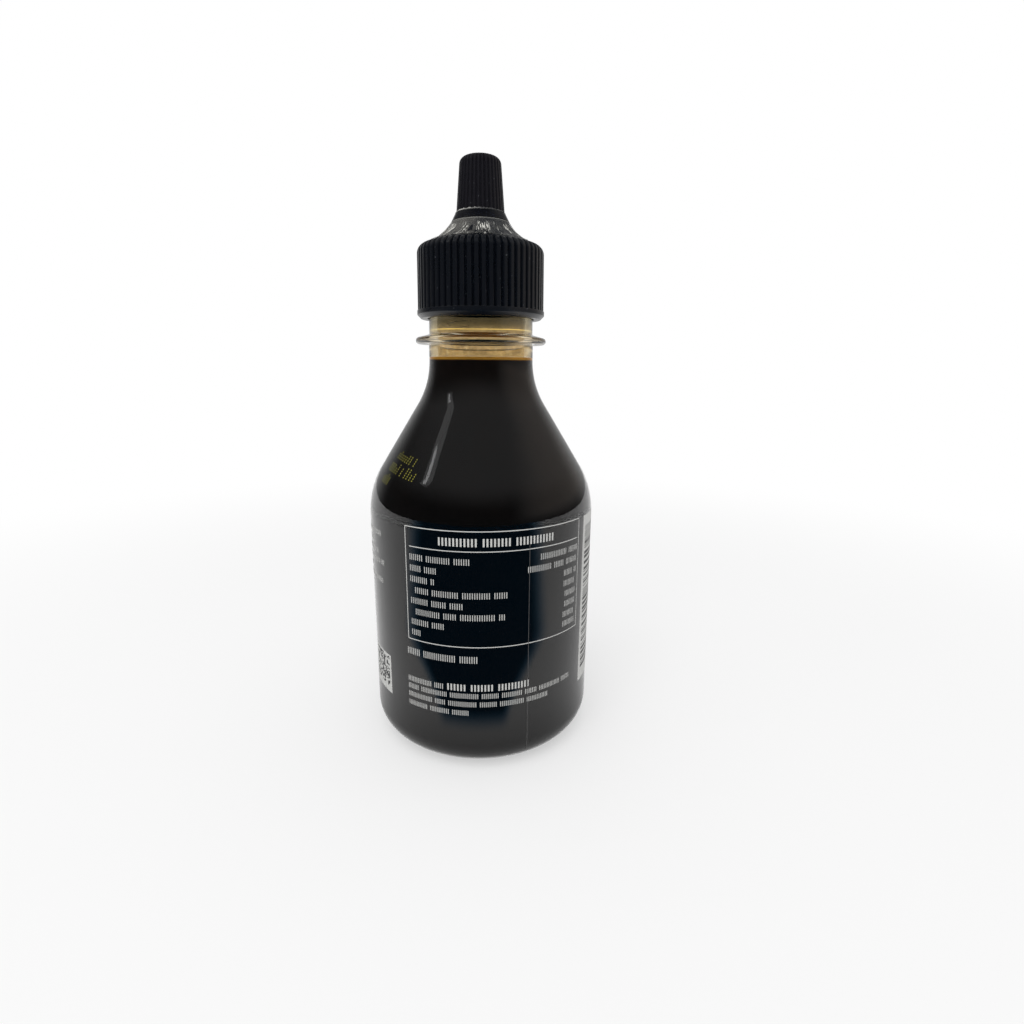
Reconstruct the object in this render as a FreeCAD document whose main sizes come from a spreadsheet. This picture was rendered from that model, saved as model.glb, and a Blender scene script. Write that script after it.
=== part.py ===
import FreeCAD, Part
import math
import os
import Sketcher
from FreeCAD import Placement, Rotation, Vector

# Sauce bottle: a clear bottle with a screw neck, filled up to the neck, closed by a ribbed
# screw cap with a flared nozzle, a ribbed tip cap and a clear film shrunk over the flare.
# Millimetres. +Z is up, and the origin is the centre of the base, on the surface it stands on.

SIZES = (
    # bottle body and shoulder
    ("body_radius", 29.1),
    ("heel_radius", 8.1),
    ("side_height", 59.8),
    ("shoulder_radius", 22.5),
    ("shoulder_angle", 31.8),
    ("wall", 0.5),
    ("push_up", 2.0),
    ("push_up_radius", 17.0),
    # neck, from the end of the shoulder to the mouth
    ("bore_radius", 10.9),
    ("neck_wall", 2.05),
    ("neck_length", 3.6),
    ("neck_sweep", 20.9),
    ("bore_sweep", 22.0),
    ("ledge_reach", 3.2),
    ("ledge_thickness", 2.3),
    ("ledge_lip", 0.8),
    ("finish_wall", 1.9),
    ("finish_height", 21.0),
    ("headspace", 24.3),
    # screw cap
    ("cap_fit", 0.35),
    ("cap_wall", 2.45),
    ("cap_draft", 0.3),
    ("cap_corner", 2.1),
    ("cap_reach", 15.9),
    ("cap_roof", 1.8),
    ("cap_lip", 0.8),
    ("cap_step", 0.25),
    ("cap_bevel", 0.9),
    ("cap_band", 1.0),
    ("cap_ribs", 58),
    ("cap_groove_depth", 0.75),
    ("cap_groove_width", 1.05),
    ("cap_groove_floor", 0.35),
    # flared nozzle on the cap, and the film shrunk over it
    ("rim_slope", 25.0),
    ("rim_slope_run", 2.2),
    ("flare_run", 4.25),
    ("flare_height", 4.1),
    ("flare_sweep", 10.5),
    ("film_thickness", 0.25),
    ("spout_radius", 3.4),
    ("spout_tip_radius", 2.6),
    ("spout_length", 8.0),
    # tip cap
    ("tip_fit", 0.15),
    ("tip_overhang", 0.25),
    ("tip_collar_slope", 1.1),
    ("tip_collar_height", 2.1),
    ("tip_step", 0.15),
    ("tip_draft", 0.8),
    ("tip_corner", 1.6),
    ("tip_height", 14.05),
    ("tip_ribs", 34),
    ("tip_groove_depth", 0.32),
    ("tip_groove_width", 0.62),
    ("tip_groove_floor", 0.2),
)

doc = FreeCAD.newDocument("SauceBottle")
sheet = doc.addObject("Spreadsheet::Sheet", "sizes")
for row, (name, number) in enumerate(SIZES, start=1):
    sheet.set(f"A{row}", name)
    sheet.set(f"B{row}", str(number))
    sheet.setAlias(f"B{row}", name)
doc.recompute()


def value_of(expression):
    """Return the number that an expression gives with the sheet as it is."""
    result = sheet.evalExpression(expression)
    return float(getattr(result, "Value", result))


# ------------------------------------------------------------------ heights and places
# Each is an expression on the sheet, so it follows when a size there is changed.

NECK_RADIUS = "(sizes.bore_radius + sizes.neck_wall)"
LEDGE_RADIUS = f"({NECK_RADIUS} + sizes.ledge_reach)"
FINISH_RADIUS = "(sizes.bore_radius + sizes.finish_wall)"

CAP_BORE = f"({FINISH_RADIUS} + sizes.cap_fit)"
CAP_RADIUS = f"({CAP_BORE} + sizes.cap_wall)"
CAP_RIM_RADIUS = f"({CAP_RADIUS} - sizes.cap_draft)"
CAP_TOP_RADIUS = f"({CAP_RIM_RADIUS} - sizes.cap_corner)"

FLARE_FOOT_RADIUS = f"({CAP_TOP_RADIUS} - sizes.rim_slope_run)"
FLARE_TOP_RADIUS = f"({FLARE_FOOT_RADIUS} - sizes.flare_run)"

TIP_FOOT_RADIUS = f"({FLARE_TOP_RADIUS} + sizes.tip_overhang)"
TIP_COLLAR_RADIUS = f"({TIP_FOOT_RADIUS} - sizes.tip_collar_slope)"
TIP_CREST_RADIUS = f"({TIP_COLLAR_RADIUS} - sizes.tip_step)"
TIP_RIM_RADIUS = f"({TIP_CREST_RADIUS} - sizes.tip_draft)"

ANGLE = "sizes.shoulder_angle"
SHOULDER_AXIS = "(sizes.body_radius - sizes.shoulder_radius)"


def shoulder_places(bend, inner_radius, sweep):
    """Return three corners: where the bend ends, where the cone ends, and where the sweep ends."""
    bend_end = (
        f"({SHOULDER_AXIS} + {bend} * cos({ANGLE}))",
        f"(sizes.side_height + {bend} * sin({ANGLE}))",
    )
    cone_radius = f"({inner_radius} + {sweep} * (1 - cos({ANGLE})))"
    cone_height = f"({bend_end[1]} + ({bend_end[0]} - {cone_radius}) / tan({ANGLE}))"
    sweep_height = f"({cone_height} + {sweep} * sin({ANGLE}))"
    return bend_end, (cone_radius, cone_height), (inner_radius, sweep_height)


OUTER_BEND = "sizes.shoulder_radius"
INNER_BEND = "(sizes.shoulder_radius - sizes.wall)"
OUTER_SHOULDER = shoulder_places(OUTER_BEND, NECK_RADIUS, "sizes.neck_sweep")
INNER_SHOULDER = shoulder_places(INNER_BEND, "sizes.bore_radius", "sizes.bore_sweep")

NECK_START = OUTER_SHOULDER[2][1]
LEDGE_UNDER = f"({NECK_START} + sizes.neck_length)"
LEDGE_TOP = f"({LEDGE_UNDER} + sizes.ledge_thickness)"
MOUTH = f"({LEDGE_UNDER} + sizes.finish_height)"
SAUCE_TOP = f"({MOUTH} - sizes.headspace)"

CAP_BOTTOM = f"({MOUTH} - sizes.cap_reach)"
CAP_BEVEL_FOOT = f"({CAP_BOTTOM} + sizes.cap_lip)"
CAP_BEVEL_TOP = f"({CAP_BEVEL_FOOT} + sizes.cap_bevel)"
CAP_BAND_TOP = f"({CAP_BEVEL_TOP} + sizes.cap_band)"
CAP_RIM = f"({MOUTH} + sizes.cap_roof)"

FLARE_FOOT = f"({CAP_RIM} + sizes.rim_slope_run * tan(sizes.rim_slope))"
FLARE_TOP = f"({FLARE_FOOT} + sizes.flare_height)"
SPOUT_TOP = f"({FLARE_TOP} + sizes.spout_length)"

TIP_BAND_TOP = f"({FLARE_TOP} + sizes.tip_collar_height)"
TIP_TOP = f"({FLARE_TOP} + sizes.tip_height)"

PUSH_UP_BEND = "((sizes.push_up_radius ^ 2 + sizes.push_up ^ 2) / (2 * sizes.push_up))"

LEFT = 1
RIGHT = -1


# ------------------------------------------------------------------ sketches and features

def origin_feature(body, role):
    """Return one of a body's own origin planes or axes."""
    for feature in body.Origin.OriginFeatures:
        if feature.Role == role:
            return feature
    raise ValueError(role)


def new_sketch(body, name, role):
    """Add a sketch on one of the body's own origin planes."""
    sketch = body.newObject("Sketcher::SketchObject", name)
    sketch.AttachmentSupport = [(origin_feature(body, role), "")]
    sketch.MapMode = "FlatFace"
    return sketch


def arc_to(start, end, radius, turn):
    """Return the short arc from start to end that bends to the LEFT or to the RIGHT."""
    chord = end - start
    left = Vector(-chord.y, chord.x, 0).normalize()
    rise = math.sqrt(radius ** 2 - (chord.Length / 2) ** 2)
    centre = (start + end) / 2 + left * rise * turn
    first, last = (start, end) if turn == LEFT else (end, start)
    first_angle = math.atan2(first.y - centre.y, first.x - centre.x)
    last_angle = math.atan2(last.y - centre.y, last.x - centre.x)
    if last_angle < first_angle:
        last_angle += 2 * math.pi
    circle = Part.Circle(centre, Vector(0, 0, 1), radius)
    return Part.ArcOfCircle(circle, first_angle, last_angle)


def bind(sketch, constraint, name, expression):
    """Add a dimension to a sketch and let the sheet drive it."""
    row = sketch.addConstraint(constraint)
    sketch.renameConstraint(row, name)
    sketch.setExpression(f"Constraints.{name}", expression)


def draw_outline(sketch, corners):
    """Draw a closed outline whose corners and bends are all driven by the sheet.

    Each corner is (name, across, up), and leads to the next by a straight line, or
    (name, across, up, radius, turn), and leads to the next by an arc.
    """
    places = [Vector(value_of(corner[1]), value_of(corner[2]), 0) for corner in corners]
    starts = []
    ends = []
    for index, corner in enumerate(corners):
        start = places[index]
        end = places[(index + 1) % len(corners)]
        backwards = len(corner) == 5 and corner[4] == RIGHT
        if len(corner) == 5:
            sketch.addGeometry(arc_to(start, end, value_of(corner[3]), corner[4]), False)
        else:
            sketch.addGeometry(Part.LineSegment(start, end), False)
        starts.append(2 if backwards else 1)
        ends.append(1 if backwards else 2)
    for index in range(len(corners)):
        following = (index + 1) % len(corners)
        sketch.addConstraint(
            Sketcher.Constraint("Coincident", index, ends[index], following, starts[following])
        )
    for index, corner in enumerate(corners):
        name, across, up = corner[:3]
        if across == "0":
            sketch.addConstraint(Sketcher.Constraint("PointOnObject", index, starts[index], -2))
        else:
            width = Sketcher.Constraint("DistanceX", index, starts[index], places[index].x)
            bind(sketch, width, f"{name}_across", across)
        if up == "0":
            sketch.addConstraint(Sketcher.Constraint("PointOnObject", index, starts[index], -1))
        else:
            height = Sketcher.Constraint("DistanceY", index, starts[index], places[index].y)
            bind(sketch, height, f"{name}_up", up)
        if len(corner) == 5:
            radius = Sketcher.Constraint("Radius", index, value_of(corner[3]))
            bind(sketch, radius, f"{name}_bend", corner[3])


def revolve(body, name, kind, corners):
    """Turn an outline about the body's upright axis, to add to the body or to cut from it."""
    sketch = new_sketch(body, f"{name}_outline", "XZ_Plane")
    draw_outline(sketch, corners)
    feature = body.newObject(kind, name)
    feature.Profile = sketch
    feature.ReferenceAxis = (sketch, ["V_Axis"])
    feature.Angle = 360
    doc.recompute()
    return feature


def cut_grooves(body, name, foot, rim, groove, count):
    """Cut the grooves between the ribs of a cap, from the top of its smooth band upwards.

    foot and rim are the radius and height of a rib's crest at its two ends, and groove is
    the depth, the width at the crest and the width of the floor. The grooves lean with the crest.
    """
    foot_radius, foot_height = foot
    rim_radius, rim_height = rim
    depth, width, floor = groove
    lean = f"-atan(({foot_radius} - {rim_radius}) / ({rim_height} - {foot_height}))"
    sketch = new_sketch(body, f"{name}_outline", "XY_Plane")
    sketch.AttachmentOffset = Placement(Vector(0, 0, 0), Rotation(Vector(0, 1, 0), value_of(lean)))
    sketch.setExpression("AttachmentOffset.Base.x", foot_radius)
    sketch.setExpression("AttachmentOffset.Base.z", foot_height)
    sketch.setExpression("AttachmentOffset.Rotation.Angle", lean)
    half_floor = f"({floor} / 2)"
    half_mouth = f"({floor} / 2 + ({width} - {floor}))"
    draw_outline(sketch, (
        ("floor_right", f"-({depth})", f"-{half_floor}"),
        ("mouth_right", depth, f"-{half_mouth}"),
        ("mouth_left", depth, half_mouth),
        ("floor_left", f"-({depth})", half_floor),
    ))
    uncut = body.Shape.Volume
    cutter = body.newObject("PartDesign::Pocket", name)
    cutter.Profile = sketch
    cutter.Type = "Length"
    cutter.Reversed = True
    cutter.setExpression("Length", f"2 * ({rim_height} - {foot_height})")
    doc.recompute()
    if not cutter.Shape.Volume < uncut:
        raise RuntimeError(f"{name} cuts nothing")
    pattern = body.newObject("PartDesign::PolarPattern", f"{name}_round")
    pattern.Originals = [cutter]
    pattern.Axis = (origin_feature(body, "Z_Axis"), [""])
    pattern.Angle = 360
    pattern.setExpression("Occurrences", count)
    body.Tip = pattern
    doc.recompute()


def new_body(label):
    """Add a body; its label is the name of its node."""
    body = doc.addObject("PartDesign::Body", label)
    body.Label = label
    return body


# ------------------------------------------------------------------ the pieces

CAVITY = (
    ("floor_axis", "0", "(sizes.push_up + sizes.wall)", PUSH_UP_BEND, RIGHT),
    ("floor_ring", "sizes.push_up_radius", "sizes.wall"),
    ("heel_foot", "(sizes.body_radius - sizes.heel_radius)", "sizes.wall",
     "(sizes.heel_radius - sizes.wall)", LEFT),
    ("heel_top", "(sizes.body_radius - sizes.wall)", "sizes.heel_radius"),
    ("side_top", "(sizes.body_radius - sizes.wall)", "sizes.side_height", INNER_BEND, LEFT),
    ("cone_foot", *INNER_SHOULDER[0]),
    ("cone_top", *INNER_SHOULDER[1], "sizes.bore_sweep", RIGHT),
    ("bore_foot", *INNER_SHOULDER[2]),
    ("bore_top", "sizes.bore_radius", MOUTH),
    ("mouth_axis", "0", MOUTH),
)


def make_bottle():
    """The clear bottle: heel, side, shoulder, neck, support ledge and finish, hollow throughout."""
    body = new_body("bottle")
    revolve(body, "bottle_form", "PartDesign::Revolution", (
        ("base_axis", "0", "sizes.push_up", PUSH_UP_BEND, RIGHT),
        ("base_ring", "sizes.push_up_radius", "0"),
        ("heel_foot", "(sizes.body_radius - sizes.heel_radius)", "0", "sizes.heel_radius", LEFT),
        ("heel_top", "sizes.body_radius", "sizes.heel_radius"),
        ("side_top", "sizes.body_radius", "sizes.side_height", OUTER_BEND, LEFT),
        ("cone_foot", *OUTER_SHOULDER[0]),
        ("cone_top", *OUTER_SHOULDER[1], "sizes.neck_sweep", RIGHT),
        ("neck_foot", NECK_RADIUS, NECK_START),
        ("neck_top", NECK_RADIUS, LEDGE_UNDER),
        ("ledge_under", f"({LEDGE_RADIUS} - sizes.ledge_lip)", LEDGE_UNDER,
         "sizes.ledge_lip", LEFT),
        ("ledge_edge", LEDGE_RADIUS, f"({LEDGE_UNDER} + sizes.ledge_lip)",
         "sizes.ledge_lip", LEFT),
        ("ledge_over", f"({LEDGE_RADIUS} - sizes.ledge_lip)",
         f"({LEDGE_UNDER} + 2 * sizes.ledge_lip)"),
        ("finish_foot", FINISH_RADIUS, LEDGE_TOP),
        ("finish_top", FINISH_RADIUS, MOUTH),
        ("mouth_axis", "0", MOUTH),
    ))
    full = body.Shape.Volume
    revolve(body, "bottle_cavity", "PartDesign::Groove", CAVITY)
    if body.Shape.Volume > 0.5 * full:
        raise RuntimeError("the bottle isn't hollow")
    return body


def make_sauce():
    """The sauce: all of the bottle's inside, up to the headspace."""
    body = new_body("sauce")
    revolve(body, "sauce_form", "PartDesign::Revolution", CAVITY)
    full = body.Shape.Volume
    sketch = new_sketch(body, "headspace_outline", "XY_Plane")
    sketch.setExpression("AttachmentOffset.Base.z", SAUCE_TOP)
    radius = value_of("sizes.body_radius")
    sketch.addGeometry(Part.Circle(Vector(0, 0, 0), Vector(0, 0, 1), radius), False)
    sketch.addConstraint(Sketcher.Constraint("Coincident", 0, 3, -1, 1))
    bind(sketch, Sketcher.Constraint("Radius", 0, radius), "headspace_radius", "sizes.body_radius")
    headspace = body.newObject("PartDesign::Pocket", "headspace")
    headspace.Profile = sketch
    headspace.Type = "Length"
    headspace.Reversed = True
    headspace.setExpression("Length", "2 * sizes.headspace")
    doc.recompute()
    if not body.Shape.Volume < full:
        raise RuntimeError("the headspace isn't cut")
    return body


def make_screw_cap():
    """The screw cap: lip, smooth band, ribs, rounded rim, and the flared nozzle on its top."""
    body = new_body("screw_cap")
    revolve(body, "cap_form", "PartDesign::Revolution", (
        ("bottom_axis", "0", CAP_BOTTOM),
        ("lip_foot", CAP_BORE, CAP_BOTTOM),
        ("lip_top", f"({CAP_RADIUS} - sizes.cap_bevel - sizes.cap_step)", CAP_BEVEL_FOOT),
        ("bevel_foot", f"({CAP_RADIUS} - sizes.cap_bevel)", CAP_BEVEL_FOOT),
        ("bevel_top", CAP_RADIUS, CAP_BEVEL_TOP),
        ("band_top", CAP_RADIUS, CAP_BAND_TOP),
        ("rim_foot", CAP_RIM_RADIUS, f"({CAP_RIM} - sizes.cap_corner)",
         "sizes.cap_corner", LEFT),
        ("rim_top", CAP_TOP_RADIUS, CAP_RIM),
        ("flare_foot", FLARE_FOOT_RADIUS, FLARE_FOOT, "sizes.flare_sweep", RIGHT),
        ("flare_top", FLARE_TOP_RADIUS, FLARE_TOP),
        ("spout_foot", "sizes.spout_radius", FLARE_TOP),
        ("spout_top", "sizes.spout_tip_radius", SPOUT_TOP),
        ("spout_axis", "0", SPOUT_TOP),
    ))
    full = body.Shape.Volume
    revolve(body, "cap_bore", "PartDesign::Groove", (
        ("bottom_axis", "0", CAP_BOTTOM),
        ("bottom_bore", CAP_BORE, CAP_BOTTOM),
        ("seal_bore", CAP_BORE, MOUTH),
        ("seal_axis", "0", MOUTH),
    ))
    if not body.Shape.Volume < full:
        raise RuntimeError("the cap's bore isn't cut")
    cut_grooves(
        body, "cap_groove",
        (CAP_RADIUS, CAP_BAND_TOP),
        (CAP_RIM_RADIUS, f"({CAP_RIM} - sizes.cap_corner)"),
        ("sizes.cap_groove_depth", "sizes.cap_groove_width", "sizes.cap_groove_floor"),
        "sizes.cap_ribs",
    )
    return body


def make_film():
    """The clear film shrunk over the flare, from the cap's top to the foot of the tip cap."""
    body = new_body("shrink_film")
    revolve(body, "film_form", "PartDesign::Revolution", (
        ("outer_foot", FLARE_FOOT_RADIUS, f"({FLARE_FOOT} + sizes.film_thickness)",
         "sizes.flare_sweep", RIGHT),
        ("outer_top", f"({FLARE_TOP_RADIUS} + sizes.film_thickness)", FLARE_TOP),
        ("inner_top", FLARE_TOP_RADIUS, FLARE_TOP, "sizes.flare_sweep", LEFT),
        ("inner_foot", FLARE_FOOT_RADIUS, FLARE_FOOT),
    ))
    return body


def make_tip_cap():
    """The tip cap: a sloped smooth collar, ribs and a rounded top, over the spout."""
    body = new_body("tip_cap")
    revolve(body, "tip_form", "PartDesign::Revolution", (
        ("foot_axis", "0", FLARE_TOP),
        ("foot_edge", TIP_FOOT_RADIUS, FLARE_TOP),
        ("collar_top", TIP_COLLAR_RADIUS, TIP_BAND_TOP),
        ("crest_foot", TIP_CREST_RADIUS, TIP_BAND_TOP),
        ("crest_top", TIP_RIM_RADIUS, f"({TIP_TOP} - sizes.tip_corner)",
         "sizes.tip_corner", LEFT),
        ("top_edge", f"({TIP_RIM_RADIUS} - sizes.tip_corner)", TIP_TOP),
        ("top_axis", "0", TIP_TOP),
    ))
    full = body.Shape.Volume
    revolve(body, "tip_bore", "PartDesign::Groove", (
        ("bore_axis", "0", FLARE_TOP),
        ("bore_foot", "(sizes.spout_radius + sizes.tip_fit)", FLARE_TOP),
        ("bore_top", "(sizes.spout_tip_radius + sizes.tip_fit)", f"({SPOUT_TOP} + sizes.tip_fit)"),
        ("bore_end", "0", f"({SPOUT_TOP} + sizes.tip_fit)"),
    ))
    if not body.Shape.Volume < full:
        raise RuntimeError("the tip cap's bore isn't cut")
    cut_grooves(
        body, "tip_groove",
        (TIP_CREST_RADIUS, TIP_BAND_TOP),
        (TIP_RIM_RADIUS, f"({TIP_TOP} - sizes.tip_corner)"),
        ("sizes.tip_groove_depth", "sizes.tip_groove_width", "sizes.tip_groove_floor"),
        "sizes.tip_ribs",
    )
    return body


pieces = [make_bottle(), make_sauce(), make_screw_cap(), make_film(), make_tip_cap()]
doc.recompute()

for item in doc.Objects:
    if "Invalid" in item.State or "Error" in item.State:
        raise RuntimeError(f"{item.Label} failed: {item.State}")
for piece in pieces:
    if piece.Shape.isNull() or not piece.Shape.isValid() or len(piece.Shape.Solids) != 1:
        raise RuntimeError(f"{piece.Label} isn't one good solid")

os.makedirs("parts", exist_ok=True)
for piece in pieces:
    piece.Shape.exportStep(f"parts/{piece.Label}.step")
    box = piece.Shape.optimalBoundingBox()
    print(f"{piece.Label}: {piece.Shape.Volume / 1000:.2f} cm3, {box.ZMin:.2f} to {box.ZMax:.2f} mm")
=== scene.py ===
"""The looks of a filled sauce bottle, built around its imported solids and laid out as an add-on."""

import math
import random

import bpy
from bpy.props import FloatProperty, FloatVectorProperty, IntProperty, PointerProperty
from mathutils import Matrix, Vector, noise


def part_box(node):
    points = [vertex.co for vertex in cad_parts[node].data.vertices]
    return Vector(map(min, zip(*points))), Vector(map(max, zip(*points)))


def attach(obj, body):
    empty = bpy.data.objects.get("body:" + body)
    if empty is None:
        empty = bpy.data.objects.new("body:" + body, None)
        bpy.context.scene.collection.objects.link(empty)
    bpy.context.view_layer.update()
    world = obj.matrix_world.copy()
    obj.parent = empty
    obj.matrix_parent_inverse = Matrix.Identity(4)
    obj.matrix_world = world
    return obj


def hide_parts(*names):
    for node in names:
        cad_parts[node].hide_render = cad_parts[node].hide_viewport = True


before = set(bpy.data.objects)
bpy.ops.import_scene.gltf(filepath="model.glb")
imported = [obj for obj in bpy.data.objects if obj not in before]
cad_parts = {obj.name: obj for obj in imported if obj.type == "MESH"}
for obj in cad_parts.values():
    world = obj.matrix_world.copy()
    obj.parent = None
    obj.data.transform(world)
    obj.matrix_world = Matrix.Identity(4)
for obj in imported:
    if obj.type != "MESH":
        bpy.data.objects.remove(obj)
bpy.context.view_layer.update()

bl_info = {
    "name": "Sauce Bottle",
    "version": (1, 0, 0),
    "blender": (4, 5, 0),
    "location": "View3D > Sidebar > Sauce Bottle",
    "description": "Builds a filled sauce bottle, its caps, its film, its print and a plain studio",
    "category": "Add Mesh",
}

MM = 0.001
BOX = {name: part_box(name) for name in ("bottle", "sauce", "screw_cap", "tip_cap")}
BODY = "root"
LEFT = 1
RIGHT = -1
SHARP_CORNER = 18.0  # degrees; a gentler turn of an outline is left as it is
RIB_COLUMNS = 14  # faces around a rib and its groove
CAP_EDGE = 0.12 * MM


# ---- settings


def length(name, description, millimetres):
    """Return a length property whose default is given in millimetres."""
    return FloatProperty(
        name=name, description=description, default=millimetres * MM, unit="LENGTH", precision=5
    )


def angle(name, description, degrees):
    """Return an angle property whose default is given in degrees."""
    return FloatProperty(
        name=name, description=description, default=math.radians(degrees), subtype="ANGLE"
    )


def share(name, description, default):
    """Return a plain number from 0 to 1."""
    return FloatProperty(name=name, description=description, default=default, min=0.0, max=1.0)


def colour(name, description, default):
    """Return a linear colour property."""
    return FloatVectorProperty(
        name=name, description=description, default=default, subtype="COLOR", size=3,
        min=0.0, max=1.0,
    )


class BottleSettings(bpy.types.PropertyGroup):
    """Sizes and colours of the clear bottle."""

    inset: length("Inset", "How far the skin stays inside the solid's own box", 0.02)
    heel_radius: length("Heel radius", "Bend between the side and the base", 8.1)
    side_height: length("Side height", "Height at which the straight side ends", 59.8)
    shoulder_radius: length("Shoulder radius", "Bend at the foot of the shoulder", 22.5)
    shoulder_angle: angle("Shoulder angle", "Slope of the shoulder's cone from upright", 31.8)
    wall: length("Wall", "Thickness of the body's wall", 0.5)
    push_up: length("Push-up", "Rise of the middle of the base", 2.0)
    push_up_radius: length("Push-up radius", "Radius of the raised middle of the base", 17.0)
    bore_radius: length("Bore radius", "Inner radius of the neck", 10.9)
    neck_radius: length("Neck radius", "Outer radius of the neck under the ledge", 12.95)
    neck_length: length("Neck length", "Straight neck under the ledge", 3.6)
    neck_sweep: length("Neck sweep", "Outer bend from the shoulder into the neck", 20.9)
    bore_sweep: length("Bore sweep", "Inner bend from the shoulder into the neck", 22.0)
    ledge_radius: length("Ledge radius", "Radius of the ledge around the neck", 16.15)
    ledge_thickness: length("Ledge thickness", "Height of the ledge at the neck", 2.3)
    ledge_lip: length("Ledge lip", "Rounding of the ledge's edge", 0.8)
    finish_radius: length("Finish radius", "Outer radius of the neck above the ledge", 12.8)
    filled_top: length("Filled top", "Height up to which the wall is finished as filled", 63.0)
    seam_angle: angle("Seam angle", "Where the mould's parting line runs", 21.8)
    seam_width: length("Seam width", "Width of the parting line", 0.13)
    tint: colour("Plastic", "Colour of the clear plastic", (0.94, 0.95, 0.94))
    filled: colour("Filled", "Colour of the wall where sauce stands behind it", (0.46, 0.46, 0.45))
    residue: colour("Residue", "Tint that the sauce leaves in the empty neck", (0.48, 0.385, 0.235))
    gold: colour("Gold", "Paler streaks of that tint", (0.70, 0.57, 0.34))
    shaded: colour("Shaded", "That tint in the shade under the cap", (0.20, 0.18, 0.125))
    # Painted reflection: the clear ledge takes this amber for the amber it shows from around it.
    ledge: colour("Ledge", "That tint in the ledge", (0.86, 0.74, 0.54))


class SauceSettings(bpy.types.PropertyGroup):
    """Level and colours of the sauce."""

    reach: length("Reach", "How far the sauce goes into the wall, so that no gap shows", 0.06)
    meniscus: length("Meniscus", "How far the sauce climbs at the wall", 0.45)
    meniscus_width: length("Meniscus width", "How quickly the climb falls away from the wall", 0.9)
    deep: colour("Deep", "Colour of the sauce where it is deep", (0.0022, 0.0024, 0.0032))
    # Painted glow: this amber stands for light passing through the thin sauce at its top.
    thin: colour("Thin", "Colour of the thin edge at the top", (0.95, 0.47, 0.07))


class CapSettings(bpy.types.PropertyGroup):
    """Sizes and colours of the screw cap and its flared nozzle."""

    bore: length("Bore", "Inner radius of the cap", 13.15)
    radius: length("Radius", "Radius of the smooth band at the cap's foot", 15.6)
    ledge: length("Ledge", "How far the band stands out past the ribs", 0.12)
    rim_radius: length("Rim radius", "Radius of the ribs at the rim", 15.3)
    corner: length("Corner", "Rounding of the rim", 2.1)
    roof: length("Roof", "Thickness of the cap above the mouth", 1.8)
    lip: length("Lip", "Height of the foot above the solid's lowest edge", 0.8)
    bevel: length("Bevel", "Bevel at the cap's foot", 0.9)
    band: length("Band", "Height of the smooth band", 1.0)
    ribs: IntProperty(name="Ribs", description="How many ribs the cap has", default=58)
    rib_turn: angle("Rib turn", "Where the first groove stands", -0.5)
    groove_depth: length("Groove depth", "Depth of a groove between two ribs", 0.75)
    groove_width: length("Groove width", "Width of a groove at its mouth", 0.92)
    groove_floor: length("Groove floor", "Width of a groove's floor", 0.06)
    top_slope: angle("Top slope", "Slope of the cap's top inside the rim", 25.0)
    top_run: length("Top run", "Width of the sloped top", 2.2)
    flare_run: length("Flare run", "How far the flare comes in", 4.25)
    flare_sweep: length("Flare sweep", "Bend of the flare", 10.5)
    spout_radius: length("Spout radius", "Radius of the spout at its foot", 3.4)
    spout_tip_radius: length("Spout tip radius", "Radius of the spout at its tip", 2.6)
    plastic: colour("Plastic", "Colour of the black plastic", (0.0028, 0.0042, 0.0075))
    lighter: colour("Lighter", "Slightly lighter areas of it", (0.0042, 0.0055, 0.0085))


class TipSettings(bpy.types.PropertyGroup):
    """Sizes and colours of the tip cap."""

    foot_radius: length("Foot radius", "Radius of the collar at its foot", 7.0)
    collar_radius: length("Collar radius", "Radius of the collar at its top", 5.9)
    collar_height: length("Collar height", "Height of the collar", 2.1)
    crest_radius: length("Crest radius", "Radius of the ribs at their foot", 5.75)
    rim_radius: length("Rim radius", "Radius of the ribs at the top", 4.95)
    corner: length("Corner", "Rounding of the top", 1.6)
    fit: length("Fit", "Gap around the spout", 0.15)
    ribs: IntProperty(name="Ribs", description="How many ribs the tip cap has", default=34)
    rib_turn: angle("Rib turn", "Where the first groove stands", 0.0)
    groove_depth: length("Groove depth", "Depth of a groove between two ribs", 0.32)
    groove_width: length("Groove width", "Width of a groove at its mouth", 0.56)
    groove_floor: length("Groove floor", "Width of a groove's floor", 0.04)
    plastic: colour("Plastic", "Colour of the black plastic", (0.0080, 0.0076, 0.0108))
    lighter: colour("Lighter", "Slightly lighter areas of it", (0.0100, 0.0095, 0.0125))
    smooth: colour("Smooth", "Colour of the smooth collar", (0.0017, 0.0022, 0.0045))


class FilmSettings(bpy.types.PropertyGroup):
    """Sizes and colours of the shrink film over the flare."""

    foot_radius: length("Foot radius", "Radius of the film's lower edge", 12.3)
    thickness: length("Thickness", "Thickness of the film", 0.05)
    wrinkle: length("Wrinkle", "Height of the wrinkles", 0.24)
    pleats: IntProperty(name="Pleats", description="Pleats around the film", default=46)
    colour: colour("Colour", "Colour of the clear film", (0.055, 0.058, 0.062))
    pale: colour("Pale", "Colour of the hazy parts of the film", (0.12, 0.12, 0.115))
    alpha: share("Alpha", "How much the film hides what is under it", 0.36)


class PrintSettings(bpy.types.PropertyGroup):
    """Layout and colours of the print."""

    lift: length("Lift", "How far the ink stands off the bottle's skin", 0.008)
    line: length("Line", "Weight of the ruled lines", 0.22)
    white: colour("White ink", "Colour of the white ink", (0.62, 0.62, 0.60))
    dark: colour("Dark ink", "Colour of the bars on the white patch", (0.02, 0.02, 0.022))
    date: colour("Date ink", "Colour of the sprayed dots", (0.40, 0.38, 0.035))
    seed: IntProperty(name="Seed", description="Seed for the random strokes", default=7)


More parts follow.
